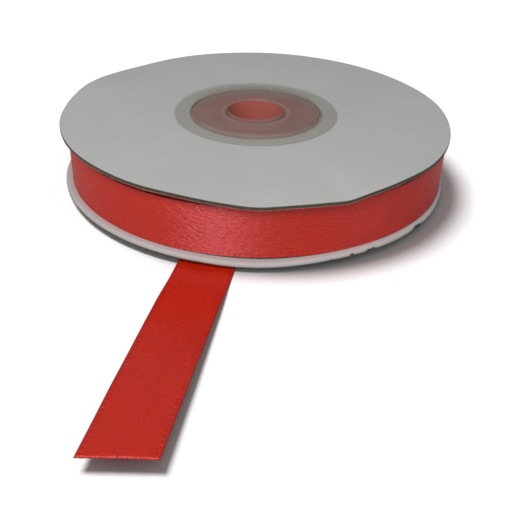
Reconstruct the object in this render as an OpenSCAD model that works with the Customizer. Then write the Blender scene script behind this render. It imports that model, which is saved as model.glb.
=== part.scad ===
// Ribbon spool: satin ribbon wound on a two-piece snap-together plastic hub between two white-faced card discs.
// The spool lies flat. Its axis is Z, z = 0 is the surface it lies on, and the spool stands on its own free end,
// which folds down over the lower card at the back (+Y) and runs out flat underneath it to the front (-Y).
// All sizes are in millimetres.

/* [Ribbon] */
// Width of the ribbon
ribbon_w = 12; // [6:0.5:25]
// Thickness of the ribbon
ribbon_t = 0.25; // [0.15:0.01:0.4]
// Distance from the card's rim in to the last turn of ribbon
roll_inset = 1.85; // [1.5:0.05:10]

/* [Free end] */
// Distance from the spool's axis to the cut end, along Y
tail_reach = 97.7; // [70:0.1:160]
// Angle between the free end and the Y axis
tail_skew = 9.5; // [0:0.5:25]
// Distance from the spool's axis to the free end's centreline
tail_offset = 2.1; // [0:0.1:3]
// Height that the springy ribbon lifts its cut end off the surface
tail_lift = 2.6; // [0.5:0.1:6]
// Distance from the card's rim to where the free end starts to lift
lift_start = 4; // [0:1:10]
// Radius of the bend where the free end turns up over the lower card's rim
tail_bend_r = 0.6; // [0.5:0.1:0.8]

/* [Card discs] */
// Diameter of both card discs
card_d = 92.4; // [75:0.1:140]
// Thickness of the grey board
board_t = 0.75; // [0.5:0.05:1.5]
// Thickness of the white paper on each face of the board
paper_t = 0.12; // [0.1:0.01:0.25]

/* [Hub] */
// Diameter of the bore for a dispenser's spindle
bore_d = 13; // [8:0.5:14]
// Wall of the plug's tube and of the socket's tube
tube_wall = 0.9; // [0.7:0.05:1.2]
// Diameter of the flange that holds a card on
flange_d = 39.2; // [36:0.1:48]
// Thickness of the flange
flange_t = 0.45; // [0.35:0.05:0.8]
// Diameter of the boss that centres a card
boss_d = 31.9; // [26:0.1:33]
// Diameter of the raised crown in the middle of the flange
crown_d = 31; // [25:0.1:33]
// Height of the crown over the card
crown_h = 1; // [0.8:0.05:1.6]
// Thickness of the crown
crown_t = 0.7; // [0.5:0.05:0.8]
// Wall of the boss
boss_wall = 0.8; // [0.6:0.05:1.2]
// Number of slots that let the plug's tube spring
slots = 4; // [2:1:6]
// Width of a slot
slot_w = 1.2; // [0.8:0.1:1.6]

/* [Fits] */
// Radial clearance of a card on its boss
card_fit = 0.1; // [0.05:0.01:0.1]
// Gap between a card and the flange that holds it
card_play = 0.05; // [0.03:0.01:0.1]
// Gap between a card and the edge of the ribbon
roll_play = 0.1; // [0.05:0.01:0.3]
// Radial clearance between the plug's tube and the socket's tube
tube_fit = 0.05; // [0.03:0.01:0.1]
// Gap between the last turn and the turns under it
turn_gap = 0.1; // [0.05:0.01:0.2]
// Gap between the hub's underside and the free end below it
tail_gap = 0.05; // [0.03:0.01:0.1]
// Gap between the lower card's rim and the free end that passes it
rim_gap = 0.3; // [0.2:0.05:0.5]

/* [Hidden] */
$fn = 128;
eps = 0.01;

// Radii, from the axis out.
bore_r = bore_d / 2;
plug_tube_r = bore_r + tube_wall;
socket_bore_r = plug_tube_r + tube_fit;
socket_tube_r = socket_bore_r + tube_wall;
tape_t = 0.1;
roll_inner_r = socket_tube_r + tape_t + 2 * tube_fit;
crown_r = crown_d / 2;
boss_r = boss_d / 2;
card_hole_r = boss_r + card_fit;
flange_r = flange_d / 2;
card_r = card_d / 2;
last_turn_r = card_r - roll_inset;
last_turn_inner_r = last_turn_r - ribbon_t;
roll_r = last_turn_inner_r - turn_gap;

// Heights, from the surface up.
card_t = board_t + 2 * paper_t;
hub_z = ribbon_t + tail_gap;
lower_flange_z = hub_z + crown_h;
lower_card_z = lower_flange_z + card_play;
roll_z = lower_card_z + card_t + roll_play;
upper_card_z = roll_z + ribbon_w + roll_play;
upper_flange_z = upper_card_z + card_t + card_play;
hub_top_z = upper_flange_z + crown_h;

// The boss goes through the card and stops at the card's inner face.
boss_h = card_play + card_t;
edge_round = 0.2;

// Each tube stops just short of the other half's crown.
plug_end_z = hub_z + crown_t + tube_fit;
socket_end_z = hub_top_z - crown_t - tube_fit;

// The snap joint: a bead near the end of the plug's tube sits in a groove in the socket's.
bead_h = 0.8;
bead_out = 0.25;
bead_z = plug_end_z + 1.6;
slot_h = ribbon_w / 2;

// The starter tape holds the ribbon's inner end on the socket's tube.
tape_turn = 140;

// The free end's own frame: s runs along it towards the back of the spool, and z up.
tail_back_s = card_r + rim_gap;
tail_front_s = -(tail_reach / cos(tail_skew) + ribbon_w * tan(tail_skew));
lift_start_s = -card_r - lift_start;
lift_end_s = -tail_reach / cos(tail_skew);
lift_steps = 20;
riser_knee_z = lower_card_z + card_t;
riser_top_z = roll_z + ribbon_w;
riser_lean_z = riser_knee_z + 3 * (tail_back_s - last_turn_r);

// Height of the free end's underside at s: flat under the spool, then one smooth rise to the cut end.
function lift_share(s) = min(1, (lift_start_s - s) / (lift_start_s - lift_end_s));
function tail_z(s) = tail_lift * (1 - cos(180 * lift_share(s))) / 2;

// A ring with a square section.
module ring(inner_r, outer_r, height) {
    difference() {
        cylinder(r = outer_r, h = height);
        translate([0, 0, -1])
            cylinder(r = inner_r, h = height + 2);
    }
}

// Flange, boss and crown of one hub half, seen as the upper one: z = 0 is the flange's face on the card.
// The outline is in radius and height, and the tube is left to each half.
module hub_shell() {
    rotate_extrude()
        polygon([
            [bore_r, crown_h],
            [crown_r - edge_round, crown_h],
            [crown_r, crown_h - edge_round],
            [crown_r, flange_t],
            [flange_r - edge_round, flange_t],
            [flange_r, flange_t - edge_round],
            [flange_r, 0],
            [boss_r, 0],
            [boss_r, -boss_h],
            [boss_r - boss_wall, -boss_h],
            [boss_r - boss_wall, crown_h - crown_t],
            [bore_r, crown_h - crown_t]
        ]);
}

// The lower half of the hub: flange, boss, crown and the outer tube, with a groove for the plug's bead.
module hub_socket() {
    color([0.80, 0.78, 0.74])
        difference() {
            union() {
                translate([0, 0, lower_flange_z])
                    mirror([0, 0, 1])
                        hub_shell();
                translate([0, 0, hub_z + crown_t / 2])
                    ring(socket_bore_r, socket_tube_r, socket_end_z - hub_z - crown_t / 2);
            }
            translate([0, 0, bead_z - tube_fit])
                cylinder(r = plug_tube_r + bead_out + tube_fit, h = bead_h + 2 * tube_fit);
        }
}

// The upper half of the hub: flange, boss, crown and the inner tube, whose slotted end carries the snap bead.
module hub_plug() {
    color([0.80, 0.78, 0.74])
        difference() {
            union() {
                translate([0, 0, upper_flange_z])
                    hub_shell();
                translate([0, 0, plug_end_z])
                    ring(bore_r, plug_tube_r, hub_top_z - crown_t / 2 - plug_end_z);
                translate([0, 0, bead_z])
                    ring(bore_r, plug_tube_r + bead_out, bead_h);
            }
            for (i = [0 : slots - 1])
                rotate([0, 0, i * 360 / slots])
                    translate([bore_r - 1, -slot_w / 2, plug_end_z - 1])
                        cube([tube_wall + bead_out + 2, slot_w, slot_h + 1]);
        }
}

// Adhesive tape round the socket's tube, under the first turn of ribbon.
module starter_tape() {
    color([0.93, 0.90, 0.78])
        translate([0, 0, roll_z])
            rotate_extrude(angle = tape_turn)
                translate([socket_tube_r + tube_fit, 0])
                    square([tape_t, ribbon_w]);
}

// The wound ribbon, without its last turn.
module ribbon_roll() {
    color([0.72, 0.10, 0.10])
        translate([0, 0, roll_z])
            ring(roll_inner_r, roll_r, ribbon_w);
}

// One layer of a card disc.
module card_layer(z, thickness) {
    translate([0, 0, z])
        ring(card_hole_r, card_r, thickness);
}

module lower_card_board() {
    color([0.45, 0.40, 0.34]) card_layer(lower_card_z + paper_t, board_t);
}

module lower_card_outer_paper() {
    color([0.92, 0.92, 0.90]) card_layer(lower_card_z, paper_t);
}

module lower_card_inner_paper() {
    color([0.90, 0.88, 0.87]) card_layer(lower_card_z + paper_t + board_t, paper_t);
}

module upper_card_board() {
    color([0.45, 0.40, 0.34]) card_layer(upper_card_z + paper_t, board_t);
}

module upper_card_outer_paper() {
    color([0.92, 0.92, 0.90]) card_layer(upper_card_z + paper_t + board_t, paper_t);
}

module upper_card_inner_paper() {
    color([0.90, 0.88, 0.87]) card_layer(upper_card_z, paper_t);
}

// The last turn of ribbon on the roll.
module ribbon_last_turn() {
    color([0.75, 0.12, 0.11])
        translate([0, 0, roll_z])
            ring(last_turn_inner_r, last_turn_r, ribbon_w);
}

// Moves a piece drawn in the free end's frame (s, width, z) to its place under the spool.
module in_tail_frame() {
    rotate([0, 0, 90 - tail_skew])
        translate([0, tail_offset, 0])
            children();
}

// The free end seen from the side: rise, flat run under the spool, bend, and the riser up to the last turn.
module tail_profile() {
    rise_s = [for (i = [0 : lift_steps]) lift_start_s + (tail_front_s - lift_start_s) * i / lift_steps];
    polygon(concat(
        [for (s = rise_s) [s, tail_z(s)]],
        [for (i = [lift_steps : -1 : 0]) [rise_s[i], tail_z(rise_s[i]) + ribbon_t]],
        [for (a = [-90 : 15 : 0])
            [tail_back_s - tail_bend_r + tail_bend_r * cos(a), ribbon_t + tail_bend_r + tail_bend_r * sin(a)]],
        [[tail_back_s, riser_knee_z],
         [last_turn_r, riser_lean_z],
         [last_turn_r, riser_top_z],
         [last_turn_r + ribbon_t, riser_top_z],
         [last_turn_r + ribbon_t, riser_lean_z],
         [tail_back_s + ribbon_t, riser_knee_z]],
        [for (a = [0 : -15 : -90])
            [tail_back_s - tail_bend_r + (tail_bend_r + ribbon_t) * cos(a),
             ribbon_t + tail_bend_r + (tail_bend_r + ribbon_t) * sin(a)]]
    ));
}

// The free end of the ribbon, cut square to the Y axis.
module ribbon_free_end() {
    color([0.80, 0.14, 0.10])
        difference() {
            in_tail_frame()
                translate([0, ribbon_w / 2, 0])
                    rotate([90, 0, 0])
                        linear_extrude(height = ribbon_w)
                            tail_profile();
            translate([-tail_reach, -3 * tail_reach, -1])
                cube([2 * tail_reach, 2 * tail_reach, tail_lift + 5]);
            translate([0, 0, roll_z - 1])
                cylinder(r = last_turn_r + eps, h = ribbon_w + 2);
        }
}

hub_socket();
hub_plug();
starter_tape();
ribbon_roll();
lower_card_board();
lower_card_outer_paper();
lower_card_inner_paper();
upper_card_board();
upper_card_outer_paper();
upper_card_inner_paper();
ribbon_last_turn();
ribbon_free_end();
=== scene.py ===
"""Looks of a ribbon spool: satin ribbon on a translucent snap hub between two white-faced card discs.

Everything is in metres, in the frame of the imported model: the spool's axis is Z, z = 0 is the surface that
it lies on, and the ribbon's cut end points along -Y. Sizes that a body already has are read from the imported
model's boxes.
"""

import logging
import math
from dataclasses import dataclass
from enum import Enum
from functools import lru_cache
from typing import Callable, Sequence

import bmesh
import bpy
import numpy as np
from mathutils import Matrix, Vector


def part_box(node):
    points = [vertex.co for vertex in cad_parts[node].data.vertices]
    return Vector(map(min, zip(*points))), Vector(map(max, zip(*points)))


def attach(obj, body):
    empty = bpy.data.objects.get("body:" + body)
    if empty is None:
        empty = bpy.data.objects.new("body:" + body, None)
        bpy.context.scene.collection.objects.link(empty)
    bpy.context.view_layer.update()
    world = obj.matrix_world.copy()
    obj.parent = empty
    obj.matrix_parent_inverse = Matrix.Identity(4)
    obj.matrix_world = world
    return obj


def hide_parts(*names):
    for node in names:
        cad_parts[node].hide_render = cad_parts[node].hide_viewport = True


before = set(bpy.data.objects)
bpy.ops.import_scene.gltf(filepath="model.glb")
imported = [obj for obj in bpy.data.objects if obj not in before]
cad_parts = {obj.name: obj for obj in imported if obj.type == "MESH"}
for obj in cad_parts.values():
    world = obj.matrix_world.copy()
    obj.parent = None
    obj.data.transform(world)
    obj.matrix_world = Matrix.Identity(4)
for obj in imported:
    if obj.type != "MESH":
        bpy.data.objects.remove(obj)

LOG = logging.getLogger("ribbon_spool")
MM = 0.001
TURN = 2 * math.pi
RIBBON_UV = "ribbon"
GLINT_ALONG = 0.985
GLINT_ASIDE = 0.17
EDGE_FADE = 0.35 * MM
STITCH_PITCH = 1.15 * MM
Colour = tuple[float, float, float]


# ---------------------------------------------------------------- small mesh tools

def smooth_step(share: np.ndarray) -> np.ndarray:
    """Eases a share from 0 to 1 with flat ends.

    Args:
        share: values, which may lie outside 0 to 1.

    Returns:
        The eased values, held at 0 and 1 outside.
    """
    share = np.clip(share, 0.0, 1.0)
    return share * share * (3.0 - 2.0 * share)


def ring_noise(angles: np.ndarray, knots: int, seed: int) -> np.ndarray:
    """Smooth random values round a circle.

    Args:
        angles: angles in radians.
        knots: random values in a full turn.
        seed: seed of the random draw.

    Returns:
        A value from about -1 to 1 at each angle, which joins up after a full turn.
    """
    values = np.random.default_rng(seed).uniform(-1.0, 1.0, knots)
    place = (np.asarray(angles) / TURN % 1.0) * knots
    low = np.floor(place).astype(int)
    share = smooth_step(place - low)
    return values[low % knots] * (1.0 - share) + values[(low + 1) % knots] * share


@lru_cache(maxsize=None)
def box_of(node: str) -> tuple[Vector, Vector]:
    """Lowest and highest corner of a CAD node."""
    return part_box(node)


def outer_radius(node: str) -> float:
    """Outer radius of a round CAD node, which is half its width."""
    low, high = box_of(node)
    return (high.x - low.x) / 2


def make_mesh(name: str, points: np.ndarray, faces: Sequence[Sequence[int]],
              finishes: Sequence[bpy.types.Material], face_slots: Sequence[int] | None = None,
              uv: np.ndarray | None = None) -> bpy.types.Object:
    """Makes a smooth-shaded mesh object from points and faces.

    Args:
        name: the piece's name.
        points: its points, one row each.
        faces: indices of each face's points.
        finishes: its materials.
        face_slots: which material each face has, or None for the first.
        uv: one pair of coordinates for each point, or None.

    Returns:
        The new object, linked to the scene.
    """
    mesh = bpy.data.meshes.new(name)
    mesh.from_pydata([tuple(p) for p in points], [], [tuple(f) for f in faces])
    for finish in finishes:
        mesh.materials.append(finish)
    if face_slots is not None:
        mesh.polygons.foreach_set("material_index", np.asarray(face_slots, np.int32))
    mesh.polygons.foreach_set("use_smooth", np.ones(len(mesh.polygons), bool))
    if uv is not None:
        layer = mesh.uv_layers.new(name=RIBBON_UV)
        corners = np.zeros(len(mesh.loops), np.int32)
        mesh.loops.foreach_get("vertex_index", corners)
        layer.data.foreach_set("uv", uv[corners].astype(np.float32).ravel())
    mesh.validate()
    mesh.update()
    piece = bpy.data.objects.new(name, mesh)
    bpy.context.scene.collection.objects.link(piece)
    return piece


def sharpen(piece: bpy.types.Object, angle_deg: float) -> None:
    """Marks sharp edges, so that shading breaks there.

    Args:
        piece: the piece.
        angle_deg: the angle between two faces above which their edge is sharp.
    """
    mesh = bmesh.new()
    mesh.from_mesh(piece.data)
    for edge in mesh.edges:
        if len(edge.link_faces) == 2 and edge.calc_face_angle(0.0) > math.radians(angle_deg):
            edge.smooth = False
    mesh.to_mesh(piece.data)
    mesh.free()


def wrapped_quads(rows: int, columns: int, wrap_rows: bool) -> list[tuple[int, int, int, int]]:
    """Faces of a grid whose columns always join up, and whose rows may.

    Args:
        rows: number of rows.
        columns: points in each row.
        wrap_rows: whether the last row joins the first.

    Returns:
        Each face's four point indices.
    """
    last = rows if wrap_rows else rows - 1
    return [(i * columns + j, i * columns + (j + 1) % columns,
             (i + 1) % rows * columns + (j + 1) % columns, (i + 1) % rows * columns + j)
            for i in range(last) for j in range(columns)]


def fillet(corners: Sequence[tuple[float, float, float]], steps: int = 5) -> list[tuple[float, float]]:
    """Rounds a closed outline's corners.

    Args:
        corners: radius, height and corner radius of each corner.
        steps: points along each rounded corner.

    Returns:
        The rounded outline's points.
    """
    outline: list[tuple[float, float]] = []
    for i, (r, z, size) in enumerate(corners):
        here = np.array((r, z))
        if size <= 0:
            outline.append((r, z))
            continue
        before = np.array(corners[i - 1][:2]) - here
        after = np.array(corners[(i + 1) % len(corners)][:2]) - here
        before, after = before / np.linalg.norm(before), after / np.linalg.norm(after)
        for share in np.linspace(0.0, 1.0, steps):
            start, end = here + before * size, here + after * size
            curve = start * (1 - share) ** 2 + here * 2 * share * (1 - share) + end * share ** 2
            outline.append((float(curve[0]), float(curve[1])))
    return outline


def lathe(name: str, outline: Sequence[tuple[float, float]], finishes: Sequence[bpy.types.Material],
          segments: int = 160, pick: Callable[[float, float], int] | None = None) -> bpy.types.Object:
    """Turns a closed outline round the Z axis.

    Args:
        name: the piece's name.
        outline: radius and height of each point, clockwise seen with the axis on the left.
        finishes: its materials.
        segments: steps in a full turn.
        pick: gives the material's place in finishes from a face's radius and height.

    Returns:
        The new object.
    """
    profile = np.array(outline)
    angles = np.linspace(0.0, TURN, segments, endpoint=False)
    points = np.stack([np.outer(np.cos(angles), profile[:, 0]), np.outer(np.sin(angles), profile[:, 0]),
                       np.tile(profile[:, 1], (segments, 1))], -1).reshape(-1, 3)
    faces = wrapped_quads(segments, len(outline), True)
    slots = None
    if pick is not None:
        middles = (profile + np.roll(profile, -1, 0)) / 2
        slots = [pick(*middle) for middle in middles] * segments
    return make_mesh(name, points, faces, finishes, slots)


def outward(piece: bpy.types.Object) -> None:
    """Turns a closed piece's faces outwards.

    Args:
        piece: the piece.
    """
    mesh = bmesh.new()
    mesh.from_mesh(piece.data)
    bmesh.ops.recalc_face_normals(mesh, faces=mesh.faces)
    mesh.to_mesh(piece.data)
    mesh.free()


def settle(piece: bpy.types.Object) -> None:
    """Applies a piece's modifiers to its mesh.

    Args:
        piece: the piece.
    """
    graph = bpy.context.evaluated_depsgraph_get()
    result = bpy.data.meshes.new_from_object(piece.evaluated_get(graph))
    piece.modifiers.clear()
    piece.data = result


# ---------------------------------------------------------------- small node tools

class Tree:
    """A node tree being filled, with short ways to add and join its nodes."""

    def __init__(self, tree: bpy.types.NodeTree) -> None:
        """Starts on a tree."""
        self.tree = tree

    def add(self, kind: str, **values: object) -> bpy.types.Node:
        """Adds a node and sets its properties.

        Args:
            kind: the node's type, without its ShaderNode prefix.
            values: properties to set.

        Returns:
            The node.
        """
        node = self.tree.nodes.new("ShaderNode" + kind)
        for name, value in values.items():
            setattr(node, name, value)
        return node

    def put(self, socket: bpy.types.NodeSocket, value: object) -> None:
        """Links a socket to a socket, or sets it to a value.

        Args:
            socket: the input socket.
            value: an output socket, a number, or a tuple.
        """
        if isinstance(value, bpy.types.NodeSocket):
            self.tree.links.new(value, socket)
        else:
            socket.default_value = value

    def maths(self, operation: str, *values: object) -> bpy.types.NodeSocket:
        """Adds a Math node.

        Args:
            operation: what it does.
            values: up to three sockets or numbers.

        Returns:
            Its result.
        """
        node = self.add("Math", operation=operation)
        for socket, value in zip(node.inputs, values):
            self.put(socket, value)
        return node.outputs[0]

    def blend(self, share: object, first: object, second: object) -> bpy.types.NodeSocket:
        """Mixes two colours.

        Args:
            share: share of the second colour.
            first: a colour or its socket.
            second: a colour or its socket.

        Returns:
            The mixed colour.
        """
        node = self.add("Mix", data_type="RGBA")
        self.put(node.inputs[0], share)
        for socket, value in zip(node.inputs[6:8], (first, second)):
            self.put(socket, (*value, 1.0) if isinstance(value, tuple) and len(value) == 3 else value)
        return node.outputs[2]

    def spread(self, value: object, low: float, high: float, to_low: float,
               to_high: float) -> bpy.types.NodeSocket:
        """Maps a value from one range to another.

        Args:
            value: the value's socket.
            low: start of its range.
            high: end of its range.
            to_low: what the start becomes.
            to_high: what the end becomes.

        Returns:
            The mapped value, held at the ends.
        """
        node = self.add("MapRange", clamp=True)
        for socket, given in zip(node.inputs, (value, low, high, to_low, to_high)):
            self.put(socket, given)
        return node.outputs[0]

    def noise(self, vector: object, scale: object, detail: float = 3.0,
              roughness: float = 0.5) -> bpy.types.NodeSocket:
        """Adds a noise texture.

        Args:
            vector: where it is read.
            scale: lumps in a metre, or in one unit of the vector.
            detail: layers of finer lumps.
            roughness: strength of the finer lumps.

        Returns:
            Its value, from 0 to 1.
        """
        node = self.add("TexNoise")
        self.put(node.inputs["Vector"], vector)
        self.put(node.inputs["Scale"], scale)
        node.inputs["Detail"].default_value = detail
        node.inputs["Roughness"].default_value = roughness
        return node.outputs["Fac"]

    def stretch(self, vector: object, by: Sequence[float]) -> bpy.types.NodeSocket:
        """Scales a vector.

        Args:
            vector: the vector's socket.
            by: the three factors.

        Returns:
            The scaled vector.
        """
        node = self.add("VectorMath", operation="MULTIPLY")
        self.put(node.inputs[0], vector)
        node.inputs[1].default_value = by
        return node.outputs[0]


def node_group(name: str, inputs: dict[str, object], outputs: Sequence[str],
               fill: Callable[[Tree, bpy.types.Node, bpy.types.Node], None]) -> bpy.types.NodeTree:
    """Builds a shader node group once.

    Args:
        name: the group's name.
        inputs: each input's name and its usual value, where a triple is a vector.
        outputs: names of its outputs, which are numbers.
        fill: adds the nodes between the group's input node and its output node.

    Returns:
        The group, the same one each time it is asked for.
    """
    if name in bpy.data.node_groups:
        return bpy.data.node_groups[name]
    group = bpy.data.node_groups.new(name, "ShaderNodeTree")
    for title, value in inputs.items():
        kind = "NodeSocketVector" if isinstance(value, tuple) else "NodeSocketFloat"
        group.interface.new_socket(title, in_out="INPUT", socket_type=kind).default_value = value
    for title in outputs:
        group.interface.new_socket(title, in_out="OUTPUT", socket_type="NodeSocketFloat")
    fill(Tree(group), group.nodes.new("NodeGroupInput"), group.nodes.new("NodeGroupOutput"))
    return group


def satin_weave() -> bpy.types.NodeTree:
    """Satin weave: a rounded ridge for each thread across the ribbon, and short, slanting glints drawn from
    stretched noise.

    Returns:
        A group that puts out the threads' height, and the strength of the glints from 0 to 1.
    """
    def fill(t: Tree, given: bpy.types.Node, out: bpy.types.Node) -> None:
        """Adds the threads and the glints.

        Args:
            t: the group's tree.
            given: its input node.
            out: its output node.
        """
        parts = t.add("SeparateXYZ")
        t.put(parts.inputs[0], given.outputs["Ribbon"])
        lengthwise, across = parts.outputs[0], parts.outputs[1]
        row = t.maths("DIVIDE", across, given.outputs["Thread Pitch"])
        t.put(out.inputs["Height"], t.maths("ABSOLUTE", t.maths("SINE", t.maths("MULTIPLY", row, math.pi))))
        on = t.maths("MULTIPLY_ADD", lengthwise, GLINT_ALONG, t.maths("MULTIPLY", across, GLINT_ASIDE))
        off = t.maths("MULTIPLY_ADD", lengthwise, -GLINT_ASIDE, t.maths("MULTIPLY", across, GLINT_ALONG))
        pair = t.add("CombineXYZ")
        t.put(pair.inputs[0], t.maths("DIVIDE", on, given.outputs["Glint Length"]))
        t.put(pair.inputs[1], t.maths("DIVIDE", off, given.outputs["Glint Width"]))
        t.put(out.inputs["Glint"], t.spread(t.noise(pair.outputs[0], 1.0, 2.0, 0.7), 0.38, 0.66, 0.0, 1.0))

    return node_group("satin_weave", {"Ribbon": (0.0, 0.0, 0.0), "Thread Pitch": 0.2 * MM,
                                      "Glint Length": 0.9 * MM, "Glint Width": 0.3 * MM},
                      ("Height", "Glint"), fill)


def selvedge_and_edge_shade() -> bpy.types.NodeTree:
    """The woven edge of a ribbon, with its row of binding stitches and a darker band partly of painted shade.

    Returns:
        A group that puts out a mask that fades in from each edge, for that band, and a mask of the stitches
        beside it.
    """
    def fill(t: Tree, given: bpy.types.Node, out: bpy.types.Node) -> None:
        """Adds the edge band and the stitches.

        Args:
            t: the group's tree.
            given: its input node.
            out: its output node.
        """
        parts = t.add("SeparateXYZ")
        t.put(parts.inputs[0], given.outputs["Ribbon"])
        other = t.maths("SUBTRACT", given.outputs["Width"], parts.outputs[1])
        inset = t.maths("MINIMUM", parts.outputs[1], other)
        cord = given.outputs["Cord"]
        t.put(out.inputs["Edge"], t.maths("SUBTRACT", 1.0, t.spread(inset, 0.0, EDGE_FADE, 0.0, 1.0)))
        band = t.maths("COMPARE", inset, t.maths("MULTIPLY", cord, 1.6), t.maths("MULTIPLY", cord, 0.45))
        wave = t.maths("SINE", t.maths("MULTIPLY", parts.outputs[0], TURN / STITCH_PITCH))
        dash = t.spread(wave, 0.1, 0.6, 0.0, 1.0)
        t.put(out.inputs["Stitch"], t.maths("MULTIPLY", band, dash))

    return node_group("selvedge_and_edge_shade", {"Ribbon": (0.0, 0.0, 0.0), "Width": 12.0 * MM, "Cord": 0.4 * MM},
                      ("Edge", "Stitch"), fill)


def paper_grain() -> bpy.types.NodeTree:
    """Fine fibres and soft clouding of paper.

    Returns:
        A group that puts out the surface's height and its clouding, each from 0 to 1.
    """
    def fill(t: Tree, given: bpy.types.Node, out: bpy.types.Node) -> None:
        """Adds the grain and the clouding.

        Args:
            t: the group's tree.
            given: its input node.
            out: its output node.
        """
        where = given.outputs["Place"]
        fine = t.noise(where, given.outputs["Grain Scale"], 4.0, 0.65)
        fibres = t.noise(t.stretch(where, (1.0, 0.25, 1.0)), given.outputs["Grain Scale"], 2.0)
        t.put(out.inputs["Height"], t.maths("MULTIPLY_ADD", fibres, 0.5, t.maths("MULTIPLY", fine, 0.5)))
        broad = t.noise(where, given.outputs["Cloud Scale"], 4.0, 0.6)
        t.put(out.inputs["Clouding"], t.spread(broad, 0.3, 0.7, 0.0, 1.0))

    return node_group("paper_grain", {"Place": (0.0, 0.0, 0.0), "Grain Scale": 2500.0, "Cloud Scale": 60.0},
                      ("Height", "Clouding"), fill)


def rim_wear_and_shade() -> bpy.types.NodeTree:
    """Darkening mask that grows towards a round rim, for handling soiling and painted rim shade.

    Returns:
        A group that puts out a mask, 1 at the rim and 0 inside it.
    """
    def fill(t: Tree, given: bpy.types.Node, out: bpy.types.Node) -> None:
        """Adds the mask.

        Args:
            t: the group's tree.
            given: its input node.
            out: its output node.
        """
        flat = t.stretch(given.outputs["Place"], (1.0, 1.0, 0.0))
        length = t.add("VectorMath", operation="LENGTH")
        t.put(length.inputs[0], flat)
        inside = t.maths("SUBTRACT", given.outputs["Rim Radius"], length.outputs["Value"])
        ragged = t.maths("MULTIPLY", t.noise(given.outputs["Place"], 500.0, 4.0, 0.7), given.outputs["Width"])
        near = t.maths("SUBTRACT", 1.0, t.maths("DIVIDE", inside, t.maths("MAXIMUM", ragged, 0.01 * MM)))
        t.put(out.inputs["Wear And Shade"], t.spread(near, 0.0, 1.0, 0.0, 1.0))

    return node_group("rim_wear_and_shade", {"Place": (0.0, 0.0, 0.0), "Rim Radius": 46.2 * MM, "Width": 1.2 * MM},
                      ("Wear And Shade",), fill)


# ---------------------------------------------------------------- finishes

class Finish:
    """Something that dresses a piece in a procedural material."""

    name: str

    def paint(self, t: Tree, surface: bpy.types.Node) -> None:
        """Adds the finish's nodes, which each kind of finish does in its own way.

        Args:
            t: the material's tree.
            surface: its shader.
        """

    def material(self) -> bpy.types.Material:
        """Makes the material once.

        Returns:
            The material, the same one each time it is asked for.
        """
        if self.name in bpy.data.materials:
            return bpy.data.materials[self.name]
        made = bpy.data.materials.new(self.name)
        made.use_nodes = True
        surface = made.node_tree.nodes["Principled BSDF"]
        self.paint(Tree(made.node_tree), surface)
        return made


def place(t: Tree) -> bpy.types.NodeSocket:
    """Position on the object, in metres."""
    return t.add("TexCoord").outputs["Object"]


def use_group(t: Tree, group: bpy.types.NodeTree, **values: object) -> bpy.types.Node:
    """Places a node group and sets its inputs.

    Args:
        t: the tree to place it in.
        group: the group.
        values: its inputs, with underscores for spaces.

    Returns:
        The group's node.
    """
    node = t.add("Group", node_tree=group)
    for title, value in values.items():
        t.put(node.inputs[title.replace("_", " ")], value)
    return node


def bump(t: Tree, surface: bpy.types.Node, height: object, depth: float, strength: float = 1.0) -> None:
    """Raises a surface's fine relief.

    Args:
        t: the tree.
        surface: the shader.
        height: relief from 0 to 1.
        depth: what a height of 1 stands for, in metres.
        strength: share of the relief that shows.
    """
    node = t.add("Bump")
    node.inputs["Strength"].default_value = strength
    node.inputs["Distance"].default_value = depth
    t.put(node.inputs["Height"], height)
    t.put(surface.inputs["Normal"], node.outputs[0])


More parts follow.
